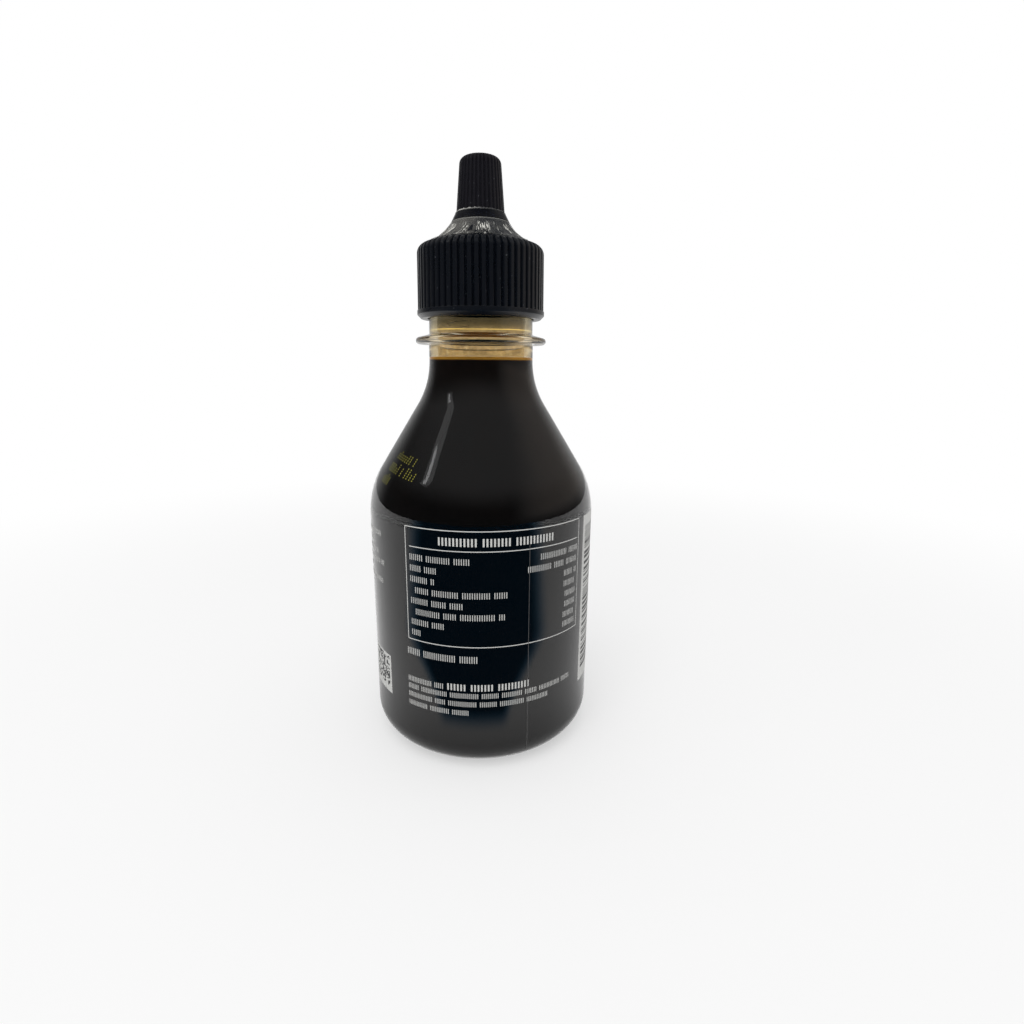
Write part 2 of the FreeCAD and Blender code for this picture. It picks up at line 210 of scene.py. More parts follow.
class StudioSettings(bpy.types.PropertyGroup):
    """Camera and light."""

    distance: length("Distance", "From the bottle's axis to the camera", 152.9)
    height: length("Height", "Height of the camera", 96.6)
    pitch: angle("Pitch", "How far the camera looks down", 13.97)
    yaw: angle("Yaw", "How far the camera turns to the right", 3.03)
    roll: angle("Roll", "How far the camera leans", 0.47)
    lens: FloatProperty(name="Lens", description="Focal length on a 36 mm sensor", default=20.584)
    ambient: share("Ambient", "Strength of the soft light from all around", 0.7)
    room: share("Room", "Brightness of the room behind the camera in reflections", 0.05)
    floor: colour("Floor", "Colour of the floor", (0.9, 0.9, 0.9))


class SauceBottleSettings(bpy.types.PropertyGroup):
    """All the settings of the sauce bottle."""

    bottle: PointerProperty(type=BottleSettings)
    sauce: PointerProperty(type=SauceSettings)
    cap: PointerProperty(type=CapSettings)
    tip: PointerProperty(type=TipSettings)
    film: PointerProperty(type=FilmSettings)
    print: PointerProperty(type=PrintSettings)
    studio: PointerProperty(type=StudioSettings)


# ---- outlines and turned meshes


def bend(start, end, radius, turn, step=2.0):
    """Return the points of the short arc from start to end, without end, every few degrees."""
    chord = Vector(end) - Vector(start)
    left = Vector((-chord.y, chord.x)).normalized()
    rise = math.sqrt(max(radius**2 - (chord.length / 2) ** 2, 0.0))
    centre = (Vector(start) + Vector(end)) / 2 + left * rise * turn
    first = math.atan2(start[1] - centre.y, start[0] - centre.x)
    last = math.atan2(end[1] - centre.y, end[0] - centre.x)
    sweep = (last - first + math.pi) % (2 * math.pi) - math.pi
    count = max(2, math.ceil(abs(math.degrees(sweep)) / step))
    return [
        (
            centre.x + radius * math.cos(first + sweep * index / count),
            centre.y + radius * math.sin(first + sweep * index / count),
        )
        for index in range(count)
    ]


def outline(corners):
    """Return an outline's points. A corner is (radius, height), or has a bend and a turn too."""
    points = []
    for index, corner in enumerate(corners):
        place = corner[:2]
        if len(corner) == 4:
            following = corners[(index + 1) % len(corners)][:2]
            points += bend(place, following, corner[2], corner[3])
        else:
            points.append(place)
    return points


def soften(points, size):
    """Round the sharp corners of an outline, so that edges catch the light."""
    result = [points[0]]
    for last, point, following in zip(points, points[1:], points[2:]):
        here = Vector(point)
        before = Vector(last) - here
        after = Vector(following) - here
        if math.degrees(math.pi - before.angle(after)) < SHARP_CORNER:
            result.append(point)
            continue
        start = here + before.normalized() * min(size, before.length * 0.4)
        end = here + after.normalized() * min(size, after.length * 0.4)
        for part in (0.0, 0.33, 0.67, 1.0):
            middle = start.lerp(here, part).lerp(here.lerp(end, part), part)
            result.append((middle.x, middle.y))
    result.append(points[-1])
    return result


def add_object(name, vertices, faces, smooth=True):
    """Make a mesh object from lists and link it to the scene."""
    mesh = bpy.data.meshes.new(name)
    mesh.from_pydata(vertices, [], faces)
    mesh.update()
    if smooth:
        mesh.shade_smooth()
    piece = bpy.data.objects.new(name, mesh)
    bpy.context.scene.collection.objects.link(piece)
    return piece


def turned(name, points, columns, shape=None, closed=False, sharp=40.0):
    """Turn an outline about the upright axis; shape may move each point by its azimuth."""
    vertices = []
    rings = []
    for radius, height in points:
        if radius < 1e-7 and not closed:
            rings.append([len(vertices)] * columns)
            vertices.append((0.0, 0.0, height))
            continue
        ring = []
        for column in range(columns):
            azimuth = 2 * math.pi * column / columns
            out, up = shape(radius, height, azimuth) if shape else (radius, height)
            ring.append(len(vertices))
            vertices.append((out * math.sin(azimuth), -out * math.cos(azimuth), up))
        rings.append(ring)
    faces = []
    pairs = list(zip(rings, rings[1:]))
    if closed:
        pairs.append((rings[-1], rings[0]))
    for low, high in pairs:
        for column in range(columns):
            following = (column + 1) % columns
            corners = (low[column], low[following], high[following], high[column])
            faces.append(tuple(dict.fromkeys(corners)))
    piece = add_object(name, vertices, faces)
    piece.data.set_sharp_from_angle(angle=math.radians(sharp))
    return piece


def divided(points, tall, least=0.0):
    """Split the rises over tall, where the radius is over least, so that ribs can follow."""
    rows = []
    for start, end in zip(points, points[1:]):
        rows.append(start)
        if start[0] > least and end[1] - start[1] > tall:
            for index in range(1, 8):
                rows.append(tuple(a + (b - a) * index / 8 for a, b in zip(start, end)))
    return rows + [points[-1]]


def grooved(sizes, foot, rim, core):
    """Return a shape that cuts grooves between ribs, outside core, from foot to rim."""
    pitch = 2 * math.pi / sizes.ribs
    centre = rim[0] - sizes.corner
    half_floor = sizes.groove_floor / 2
    half_width = sizes.groove_width / 2

    def shape(radius, height, azimuth):
        if height <= foot[1] or radius < core:
            return radius, height
        aside = abs((azimuth - sizes.rib_turn + pitch / 2) % pitch - pitch / 2) * rim[0]
        across = min(max((aside - half_floor) / (half_width - half_floor), 0.0), 1.0)
        cut = sizes.groove_depth * (0.5 + 0.5 * math.cos(math.pi * across))
        if height <= rim[1]:
            along = (height - foot[1]) / (rim[1] - foot[1])
            return min(radius, foot[0] + (rim[0] - foot[0]) * along - cut), height
        if radius > centre:
            away = Vector((radius - centre, height - rim[1])).normalized()
            return radius - cut * away.x, height - cut * away.y
        return radius, height - cut * max(1 - (centre - radius) / (0.8 * MM), 0.0)

    return shape


def bottle_heights(sizes):
    """Return the heights that follow from the bottle's sizes."""
    places = {}
    slope = sizes.shoulder_angle
    body = BOX["bottle"][1].x - sizes.inset
    axis = body - sizes.shoulder_radius

    def corners(bend_radius, inner, sweep):
        bend_end = (
            axis + bend_radius * math.cos(slope),
            sizes.side_height + bend_radius * math.sin(slope),
        )
        cone_radius = inner + sweep * (1 - math.cos(slope))
        cone = (cone_radius, bend_end[1] + (bend_end[0] - cone_radius) / math.tan(slope))
        return bend_end, cone, (inner, cone[1] + sweep * math.sin(slope))

    places["body"] = body
    places["outer"] = corners(sizes.shoulder_radius, sizes.neck_radius, sizes.neck_sweep)
    places["inner"] = corners(
        sizes.shoulder_radius - sizes.wall, sizes.bore_radius, sizes.bore_sweep
    )
    places["ledge"] = places["outer"][2][1] + sizes.neck_length
    places["mouth"] = BOX["bottle"][1].z
    return places


def base_bend(sizes):
    """Return the bend radius of the base's raised middle."""
    return (sizes.push_up_radius**2 + sizes.push_up**2) / (2 * sizes.push_up)


def cavity(sizes, places, reach=0.0):
    """Return the outline of the bottle's inside, which may reach into the wall."""
    wall = sizes.wall - reach
    body, heel = places["body"], sizes.heel_radius
    foot, cone, neck = ((radius + reach, height) for radius, height in places["inner"])
    return outline((
        (0.0, sizes.push_up + wall, base_bend(sizes), RIGHT),
        (sizes.push_up_radius, wall),
        (body - heel, wall, heel - wall, LEFT),
        (body - wall, heel),
        (body - wall, sizes.side_height, sizes.shoulder_radius - wall, LEFT),
        foot,
        (*cone, sizes.bore_sweep, RIGHT),
        neck,
    ))


def skin_radius(sizes, places, height):
    """Return the radius and the slope from upright of the bottle's outer skin at a height."""
    body = places["body"]
    bend_end, cone, neck = places["outer"]
    if height < sizes.heel_radius:
        rise = 1 - height / sizes.heel_radius
        return body - sizes.heel_radius * (1 - math.sqrt(1 - rise**2)), -math.asin(rise)
    if height < sizes.side_height:
        return body, 0.0
    if height < bend_end[1]:
        lean = math.asin((height - sizes.side_height) / sizes.shoulder_radius)
        return body - sizes.shoulder_radius * (1 - math.cos(lean)), lean
    if height < cone[1]:
        return bend_end[0] - (height - bend_end[1]) * math.tan(sizes.shoulder_angle), (
            sizes.shoulder_angle
        )
    if height < neck[1]:
        lean = math.asin((neck[1] - height) / sizes.neck_sweep)
        return sizes.neck_radius + sizes.neck_sweep * (1 - math.cos(lean)), lean
    return sizes.neck_radius, 0.0


def on_skin(sizes, places, across, height, lift):
    """Return the point on the bottle's skin, across along the side and up, lifted off it."""
    radius, lean = skin_radius(sizes, places, height)
    azimuth = across / places["body"]
    out = radius + lift * math.cos(lean)
    return (out * math.sin(azimuth), -out * math.cos(azimuth), height + lift * math.sin(lean))


# ---- materials


class Value:
    """A socket in a node tree that can be used in Python expressions."""

    def __init__(self, finish, socket):
        self.finish = finish
        self.socket = socket

    def math(self, operation, *others):
        """Add a Math node on this value and others."""
        inputs = dict(enumerate((self, *others)))
        return self.finish.node("Math", {"operation": operation}, inputs)

    def __add__(self, other):
        return self.math("ADD", other)

    __radd__ = __add__

    def __mul__(self, other):
        return self.math("MULTIPLY", other)

    __rmul__ = __mul__

    def __sub__(self, other):
        return self.math("SUBTRACT", other)

    def __rsub__(self, other):
        return self.finish.node("Math", {"operation": "SUBTRACT"}, {0: other, 1: self})

    def __truediv__(self, other):
        return self.math("DIVIDE", other)

    def __pow__(self, other):
        return self.math("POWER", other)

    def above(self, low, high):
        """Return 0 below low, 1 above high, and a smooth step between."""
        return self.finish.node(
            "MapRange", {"interpolation_type": "SMOOTHSTEP"},
            {"Value": self, "From Min": low, "From Max": high},
        )

    def within(self, half, soft):
        """Return 1 where this value is nearer to 0 than half, with soft edges."""
        return 1 - self.math("ABSOLUTE").above(half - soft, half + soft)


class Finish:
    """A material or a world, and the one way its nodes are added."""

    def __init__(self, owner):
        owner.use_nodes = True
        self.owner = owner
        self.tree = owner.node_tree
        self.tree.nodes.clear()

    def node(self, kind, settings=None, inputs=None, output=0):
        """Add a node: its settings first, then the values or links of its sockets."""
        made = self.tree.nodes.new("ShaderNode" + kind)
        for key, setting in (settings or {}).items():
            setattr(made, key, setting)
        for key, value in (inputs or {}).items():
            socket = made.inputs[key]
            if isinstance(value, Value):
                self.tree.links.new(value.socket, socket)
            elif socket.type == "RGBA" and len(value) == 3:
                socket.default_value = (*value, 1.0)
            else:
                socket.default_value = value
        return Value(self, made.outputs[output])

    def principled(self, inputs):
        """Add the usual surface shader."""
        return self.node("BsdfPrincipled", {}, inputs)

    def place(self, kind="Object"):
        """Return the point's place on the object in metres, or another coordinate."""
        return self.node("TexCoord", output=kind)

    def axes(self, where):
        """Return the X, Y and Z of a place."""
        parts = self.node("SeparateXYZ", inputs={0: where}).socket.node
        return tuple(Value(self, parts.outputs[index]) for index in range(3))

    def clouds(self, where, size, detail=2.0, roughness=0.5, stretch=None):
        """Return soft noise from 0 to 1 whose features are about size metres."""
        vector = where
        if stretch:
            vector = self.node(
                "VectorMath", {"operation": "MULTIPLY"}, {0: where, 1: stretch}
            )
        return self.node(
            "TexNoise", {},
            {"Vector": vector, "Scale": 1.0 / size, "Detail": detail, "Roughness": roughness},
        )

    def mixed(self, factor, first, second):
        """Mix two colours."""
        return self.node(
            "Mix", {"data_type": "RGBA"}, {0: factor, 6: first, 7: second}, output=2
        )

    def bump(self, height):
        """Turn a height in metres into a normal."""
        inputs = {"Strength": 1.0, "Distance": 1.0, "Height": height}
        return self.node("Bump", {}, inputs)

    def finish(self, shader, kind="OutputMaterial"):
        """Send a shader to the output, and return the material or the world."""
        output = self.tree.nodes.new("ShaderNode" + kind)
        self.tree.links.new(shader.socket, output.inputs["Surface"])
        return self.owner


def new_material(name):
    """Return the Finish that fills a new material."""
    return Finish(bpy.data.materials.new(name))


def clear_plastic(sizes):
    """Clear bottle plastic, tinted by what the sauce leaves in the neck, with painted shade under
    the cap, painted glints, a painted golden line and painted amber in the ledge.
    """
    finish = new_material("clear_plastic")
    where = finish.place()
    x, y, z = finish.axes(where)
    radius = (x * x + y * y) ** 0.5
    level = BOX["sauce"][1].z
    in_neck = z.above(level - 0.0001, level + 0.0005)
    shade_under_cap = z.above(level + 0.0050, level + 0.0085)
    on_ledge = radius.above(0.0131, 0.0140)
    streaks = finish.clouds(where, 0.0032, 3.0, 0.65, (1.0, 1.0, 2.2))
    # Painted glints: small pale spots in the neck's tint stand for light caught on the wall.
    painted_neck_glints = finish.clouds(where, 0.0011, 2.0, 0.5, (1.0, 1.0, 0.5)).above(0.54, 0.75)
    gold = finish.mixed(streaks.above(0.35, 0.65), sizes.residue, sizes.gold)
    # Painted shade: the neck's tint darkens towards the cap, where the cap shades it.
    gold = finish.mixed(shade_under_cap * (0.7 + 0.3 * streaks), gold, sizes.shaded)
    gold = finish.mixed(painted_neck_glints * (1 - shade_under_cap) * 0.5, gold, (0.90, 0.84, 0.72))
    # Painted highlight: a thin golden ring just above the ledge stands for light refracted where the
    # neck meets the ledge.
    line = (z - level - 0.0064).within(0.00012, 0.00012)
    gold = finish.mixed(line, gold, (0.95, 0.78, 0.40))
    # Painted reflection: the clear ledge is tinted amber for the amber it shows from around it.
    gold = finish.mixed(on_ledge, gold, sizes.ledge)
    tint = finish.mixed(in_neck, sizes.tint, gold)
    azimuth = x.math("ARCTAN2", y * -1)
    # Small moulded marks: azimuth, height over the sauce, and half width and height.
    marks = 0.0
    for turn, low, wide, tall in (
        (-0.72, 0.00740, 0.00022, 0.00022), (-0.66, 0.00700, 0.00022, 0.00022),
        (-0.55, 0.00790, 0.00060, 0.00018), (-0.36, 0.00740, 0.00018, 0.00070),
        (-0.22, 0.00740, 0.00018, 0.00070), (-0.29, 0.00700, 0.00055, 0.00016),
    ):
        mark = ((azimuth - turn) * radius).within(wide, 0.00008)
        marks = marks + mark * (z - level - low).within(tall, 0.00008)
    waves = finish.clouds(where, 0.02, 1.0)
    relief = waves * 0.00005 + marks * 0.00005
    normal = finish.bump(relief)
    smudges = finish.clouds(where, 0.012, 3.0, 0.6)
    empty = finish.principled({
        "Base Color": tint,
        "Roughness": 0.03 + smudges.above(0.55, 0.8) * 0.04,
        "Normal": normal,
        "IOR": 1.5,
        "Transmission Weight": 1.0,
    })
    # Where sauce touches the wall only the outer gloss is left to see, so it is a coat.
    filled = finish.principled({
        "Base Color": sizes.filled,
        "Roughness": 0.3,
        "IOR": 1.03,
        "Transmission Weight": 1.0,
        "Coat Weight": 1.0,
        "Coat Roughness": 0.03,
        "Coat IOR": 1.5,
    })
    against_sauce = 1 - z.above(sizes.filled_top - 0.0025, sizes.filled_top)
    both = finish.node("MixShader", {}, {0: against_sauce, 1: empty, 2: filled})
    return finish.finish(both)


def sauce_finish(settings, level):
    """Dark sauce, with a painted amber glow in the thin edge at its top, where light would shine
    through it.
    """
    finish = new_material("sauce")
    where = finish.place()
    z = finish.axes(where)[2]
    drift = finish.clouds(where, 0.006, 2.0)
    # Painted glow: the thin top edge is amber, standing for light passing through the thin sauce.
    thin = z.above(level - 0.0007, level - 0.0002)
    upper = z.above(level - 0.016, level)
    brown = finish.mixed(drift * 0.5 + upper * 0.5, settings.deep, (0.010, 0.0055, 0.004))
    shade = finish.mixed(thin ** 1.5, brown, settings.thin)
    return finish.finish(finish.principled({
        "Base Color": shade,
        "Roughness": 0.25 + 0.1 * drift,
        "Specular IOR Level": 0.0,
    }))


def black_plastic(name, plastic, lighter, level, smooth=None, smooth_top=0.0):
    """Satin black moulded plastic with fine grain and a little dust, smooth below smooth_top."""
    finish = new_material(name)
    where = finish.place()
    z = finish.axes(where)[2]
    grain = finish.clouds(where, 0.00025, 2.0, 0.6)
    drift = finish.clouds(where, 0.004, 2.0)
    speck = finish.clouds(where, 0.00045, 0.0).above(0.82, 0.86)
    shade = finish.mixed(drift, plastic, lighter)
    shade = finish.mixed(speck * 0.35, shade, (0.16, 0.17, 0.19))
    normal = finish.bump(grain * 0.000012)
    roughness = 0.24 + 0.08 * drift
    if smooth is not None:
        below = 1 - z.above(smooth_top - 0.0001, smooth_top)
        roughness = roughness - below * 0.12
        shade = finish.mixed(below, shade, smooth)
    return finish.finish(finish.principled({
        "Base Color": shade,
        "Roughness": roughness,
        "Normal": normal,
        "Specular IOR Level": level,
    }))


def film_finish(settings, collar):
    """Clear shrink film, hazy and glossy, with painted highlights on its wrinkles, its fold, its
    left side and its gathered top edge.
    """
    finish = new_material("shrink_film")
    where = finish.place()
    x, y, z = finish.axes(where)
    azimuth = x.math("ARCTAN2", y * -1)
    along = finish.node("CombineXYZ", {}, {0: azimuth * 0.009, 1: z * 0.22, 2: 0.0})
    haze = finish.clouds(where, 0.002, 3.0, 0.6)
    pleats = finish.clouds(along, 0.0008, 2.0, 0.55)
    edge = z.above(collar - 0.0003, collar)
    on_collar = z.above(collar - 0.0023, collar - 0.0021) * (1 - edge)
    gathered = 1 - z.above(collar - 0.0036, collar - 0.0029)
    # Painted highlights: a pale line along the fold and pale streaks along the pleats stand for
    # light glinting on the wrinkles; the streaks also make the film less clear.
    painted_fold_line = z.above(collar - 0.0025, collar - 0.0022) * (1 - on_collar) * (1 - edge)
    painted_wrinkle_glints = (pleats - 0.5).within(0.022, 0.02) * gathered
    painted_wrinkle_glints = painted_wrinkle_glints * finish.clouds(along, 0.0022, 1.0).above(0.42, 0.55)
    # Painted highlight: the film is paler on its left, where the light falls, and its gathered top
    # edge is painted silver, brightest and most opaque on the left.
    left = (x * -1).above(-0.002, 0.006)
    normal = finish.bump(pleats * 0.0003 * (1 - on_collar))
    pale = finish.mixed(haze.above(0.4, 0.7), settings.colour, settings.pale)
    pale = finish.mixed(left * 0.5, pale, (0.30, 0.29, 0.26))
    pale = finish.mixed(painted_wrinkle_glints + painted_fold_line * 0.5, pale, (0.85, 0.84, 0.78))
    painted_edge_highlight = finish.mixed(left * 0.7 + 0.2, (0.10, 0.10, 0.11), (0.80, 0.79, 0.74))
    return finish.finish(finish.principled({
        "Base Color": finish.mixed(edge, pale, painted_edge_highlight),
        "Roughness": 0.10 + 0.12 * haze,
        "Alpha": (settings.alpha * (0.7 + haze * 0.6) * (1 - edge) + painted_wrinkle_glints * 0.4) * (1 - on_collar)
        + edge * (0.10 + left * 0.45),
        "Normal": normal,
        "Specular IOR Level": 0.6,
    }))


def ink(name, shade, wear=0.12):
    """Printed ink with slight unevenness; the painted highlight of the parting line uses it too."""
    finish = new_material(name)
    patchy = finish.clouds(finish.place(), 0.0009, 2.0, 0.6)
    worn = tuple(part * (1 - 2 * wear) for part in shade)
    return finish.finish(finish.principled({
        "Base Color": finish.mixed(patchy, shade, worn),
        "Roughness": 0.42 + 0.15 * patchy,
        "Specular IOR Level": 0.3,
    }))


# ---- print


class Print:
    """Collects small patches that lie on the bottle's skin, and makes them one mesh."""

    def __init__(self, sizes, lift):
        self.skin = (sizes, bottle_heights(sizes))
        self.lift = lift
        self.vertices = []
        self.faces = []

    def patch(self, left, right, low, high, grain=0.5 * MM):
        """Add a patch from left to right along the side, and from low to high."""
        across = max(1, math.ceil((right - left) / grain))
        leans = [skin_radius(*self.skin, height)[1] for height in (low, high)]
        up = 1 if leans == [0.0, 0.0] else max(1, math.ceil((high - low) / grain))
        first = len(self.vertices)
        for row in range(up + 1):
            height = low + (high - low) * row / up
            for column in range(across + 1):
                place = left + (right - left) * column / across
                self.vertices.append(on_skin(*self.skin, place, height, self.lift))
        for row in range(up):
            for column in range(across):
                start = first + row * (across + 1) + column
                above = start + across + 1
                self.faces.append((start, start + 1, above + 1, above))

    def strokes(self, draw, row, hatch):
        """Fill a row with groups of short upright strokes; all in millimetres."""
        place, right, base = (number * MM for number in row)
        tall, weight, gap, word_gap = (number * MM for number in hatch)
        while place < right - 2 * weight:
            for stroke in range(draw.randint(6, 15)):
                if place > right - weight:
                    return
                self.patch(place, place + weight, base, base + tall * 0.82)
                place += weight + gap
            place += word_gap

    def dot(self, across, height, size):
        """Add a small round dot."""
        first = len(self.vertices)
        self.vertices.append(on_skin(*self.skin, across, height, self.lift))
        for index in range(8):
            turn = math.pi * index / 4
            self.vertices.append(on_skin(
                *self.skin, across + size * math.cos(turn), height + size * math.sin(turn),
                self.lift,
            ))
        for index in range(8):
            self.faces.append((first, first + 1 + index, first + 1 + (index + 1) % 8))

    def make(self, name, material):
        """Make the piece and hang it on the body."""
        piece = add_object(name, self.vertices, self.faces)
        piece.data.materials.append(material)
        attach(piece, BODY)
        return piece


# ---- operators


def settings_of(context):
    """Return the sauce bottle's settings."""
    return context.scene.sauce_bottle


class SAUCE_OT_bottle(bpy.types.Operator):
    """Build the clear bottle: base, side, shoulder, neck, ledge and finish"""

    bl_idname = "sauce.bottle"
    bl_label = "Clear bottle"

    def execute(self, context):
        sizes = settings_of(context).bottle
        places = bottle_heights(sizes)
        body = places["body"]
        ledge, mouth = places["ledge"], places["mouth"]
        heel, lip = sizes.heel_radius, sizes.ledge_lip
        outer = places["outer"]
        outside = outline((
            (0.0, sizes.push_up, base_bend(sizes), RIGHT),
            (sizes.push_up_radius, 0.0),
            (body - heel, 0.0, heel, LEFT),
            (body, heel),
            (body, sizes.side_height, sizes.shoulder_radius, LEFT),
            outer[0],
            (*outer[1], sizes.neck_sweep, RIGHT),
            outer[2],
            (sizes.neck_radius, ledge),
            (sizes.ledge_radius - lip, ledge, lip, LEFT),
            (sizes.ledge_radius, ledge + lip, lip, LEFT),
            (sizes.ledge_radius - lip, ledge + 2 * lip),
            (sizes.finish_radius, ledge + sizes.ledge_thickness),
            (sizes.finish_radius, mouth),
            (sizes.bore_radius, mouth),
        ))
        points = soften(outside + cavity(sizes, places)[::-1], 0.25 * MM)
        bottle = turned("clear_bottle", points, 256, sharp=60.0)
        bottle.data.materials.append(clear_plastic(sizes))
        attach(bottle, BODY)
        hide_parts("bottle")

        # The parting line is real; its pale grey strips are painted highlight, standing for light
        # caught on the raised line.
        line = Print(sizes, 0.012 * MM)
        half = sizes.seam_width / 2
        for turn in (sizes.seam_angle, sizes.seam_angle - math.pi):
            across = turn * body
            line.patch(across - half, across + half, 0.5 * heel, sizes.side_height, 0.6 * MM)
        line.make("seam_lines", ink("seam_highlight", (0.10, 0.10, 0.10)))
        return {"FINISHED"}


class SAUCE_OT_sauce(bpy.types.Operator):
    """Build the sauce, which reaches just into the bottle's wall"""

    bl_idname = "sauce.sauce"
    bl_label = "Sauce"

    def execute(self, context):
        sizes = settings_of(context).bottle
        settings = settings_of(context).sauce
        places = bottle_heights(sizes)
        level = BOX["sauce"][1].z
        edge = level + settings.meniscus * 0.5
        points = [
            point for point in cavity(sizes, places, settings.reach) if point[1] < edge
        ]
        wall_radius = points[-1][0]
        points.append((wall_radius, edge))
        for step in range(1, 13):
            inward = wall_radius * (step / 12) ** 2
            climb = settings.meniscus * math.exp(-inward / settings.meniscus_width)
            points.append((wall_radius - inward, level - settings.meniscus * 0.5 + climb))
        sauce = turned("sauce_fill", points, 192, sharp=60.0)
        sauce.data.materials.append(sauce_finish(settings, level))
        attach(sauce, BODY)
        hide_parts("sauce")
        return {"FINISHED"}


def cap_places(settings):
    """Return the heights of the screw cap and its nozzle."""
    mouth = BOX["bottle"][1].z
    places = {"bottom": BOX["screw_cap"][0].z, "mouth": mouth}
    places["bevel"] = places["bottom"] + settings.lip
    places["band"] = places["bevel"] + settings.bevel
    places["ribs"] = places["band"] + settings.band
    places["rim"] = mouth + settings.roof
    places["top_radius"] = settings.rim_radius - settings.corner
    places["flare_radius"] = places["top_radius"] - settings.top_run
    places["flare"] = places["rim"] + settings.top_run * math.tan(settings.top_slope)
    places["flare_top"] = BOX["tip_cap"][0].z
    places["neck_radius"] = places["flare_radius"] - settings.flare_run
    return places


class SAUCE_OT_screw_cap(bpy.types.Operator):
    """Build the ribbed screw cap with its flared nozzle"""

    bl_idname = "sauce.screw_cap"
    bl_label = "Screw cap"

    def execute(self, context):
        cap = settings_of(context).cap
        at = cap_places(cap)
        spout_top = BOX["screw_cap"][1].z
        crest = cap.radius - cap.ledge
        points = outline((
            (0.0, at["mouth"]),
            (cap.bore, at["mouth"]),
            (cap.bore, at["bevel"]),
            (cap.radius - cap.bevel, at["bevel"]),
            (cap.radius, at["band"]),
            (cap.radius, at["ribs"]),
            (crest, at["ribs"] + 0.06 * MM),
            (crest - 0.05 * MM, at["ribs"] + 0.2 * MM),
            (cap.rim_radius, at["rim"] - cap.corner, cap.corner, LEFT),
            (at["top_radius"], at["rim"]),
            (at["flare_radius"], at["flare"], cap.flare_sweep, RIGHT),
            (at["neck_radius"], at["flare_top"]),
            (cap.spout_radius, at["flare_top"]),
            (cap.spout_tip_radius, spout_top),
            (0.0, spout_top),
        ))
        rows = divided(points, 1.5 * MM, crest - 0.4 * MM)
        shape = grooved(
            cap, (crest, at["ribs"] + 0.03 * MM), (cap.rim_radius, at["rim"] - cap.corner),
            cap.bore + 0.5 * MM,
        )
        screw_cap = turned("ribbed_cap", soften(rows, CAP_EDGE), cap.ribs * RIB_COLUMNS, shape)
        screw_cap.data.materials.append(
            black_plastic("cap_plastic", cap.plastic, cap.lighter, 0.4)
        )
        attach(screw_cap, BODY)
        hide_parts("screw_cap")
        return {"FINISHED"}


class SAUCE_OT_tip_cap(bpy.types.Operator):
    """Build the ribbed tip cap with its smooth collar"""

    bl_idname = "sauce.tip_cap"
    bl_label = "Tip cap"

    def execute(self, context):
        tip = settings_of(context).tip
        cap = settings_of(context).cap
        foot, top = (corner.z for corner in BOX["tip_cap"])
        spout_top = BOX["screw_cap"][1].z
        band = foot + tip.collar_height
        points = outline((
            (0.0, spout_top + tip.fit),
            (cap.spout_tip_radius + tip.fit, spout_top + tip.fit),
            (cap.spout_radius + tip.fit, foot),
            (tip.foot_radius, foot),
            (tip.collar_radius, band),
            (tip.crest_radius, band + 0.1 * MM),
            (tip.rim_radius, top - tip.corner, tip.corner, LEFT),
            (tip.rim_radius - tip.corner, top),
            (0.0, top),
        ))
        rows = divided(points, 5 * MM)
        shape = grooved(
            tip, (tip.crest_radius, band + 0.05 * MM), (tip.rim_radius, top - tip.corner),
            cap.spout_radius + 2 * tip.fit,
        )
        tip_cap = turned("ribbed_tip", soften(rows, CAP_EDGE), tip.ribs * RIB_COLUMNS, shape)
        tip_cap.data.materials.append(
            black_plastic("tip_plastic", tip.plastic, tip.lighter, 0.2, tip.smooth, band)
        )
        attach(tip_cap, BODY)
        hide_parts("tip_cap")
        return {"FINISHED"}


class SAUCE_OT_film(bpy.types.Operator):
    """Build the clear film shrunk over the flare, with its wrinkles"""

    bl_idname = "sauce.film"
    bl_label = "Shrink film"

    def execute(self, context):
        film = settings_of(context).film
        cap = settings_of(context).cap
        tip = settings_of(context).tip
        at = cap_places(cap)
        gap = 0.04 * MM
        collar = at["flare_top"] + tip.collar_height
        start = (tip.foot_radius + gap, at["flare_top"])
        end = (film.foot_radius, at["rim"] + 0.55 * MM)
        places = [
            (tip.crest_radius + gap, collar + 0.15 * MM),
            (tip.collar_radius + gap * 2, collar - 0.02 * MM),
        ]
        rows = 24
        for row in range(rows + 1):
            down = row / rows
            sag = math.sin(math.pi * down) * 0.55 * MM
            places.append((
                start[0] + (end[0] - start[0]) * down,
                start[1] + (end[1] - start[1]) * down ** 0.8 - sag,
            ))
        points = places + [
            (radius - film.thickness * 0.3, height - film.thickness)
            for radius, height in places[::-1]
        ]

        def shape(radius, height, azimuth):
            out = (radius - start[0]) / (end[0] - start[0])
            if out < 0:
                top = max(height - collar, 0.0)
                lift = noise.noise(Vector((math.cos(azimuth), math.sin(azimuth), 5.0)) * 8.0)
                return radius, height + top * lift * 1.2
            strength = math.sin(math.pi * min(out * 0.85 + 0.05, 1.0))
            around = Vector((math.cos(azimuth), math.sin(azimuth), 0.0))
            pleat = noise.noise(around * film.pleats / 6.3 + Vector((0, 0, out * 1.5)))
            crease = noise.noise(around * film.pleats / 2.6 + Vector((3.0, 0, out * 3.0)))
            move = film.wrinkle * strength * (pleat * 1.3 + crease * 0.7)
            ragged = noise.noise(around * 9.0) * 0.35 * MM * max(out - 0.8, 0.0) * 5
            return radius + ragged + move * 0.3, height + move

        piece = turned("wrinkled_film", points, 480, shape, closed=True, sharp=70.0)
        piece.data.materials.append(film_finish(film, collar))
        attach(piece, BODY)
        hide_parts("shrink_film")
        return {"FINISHED"}


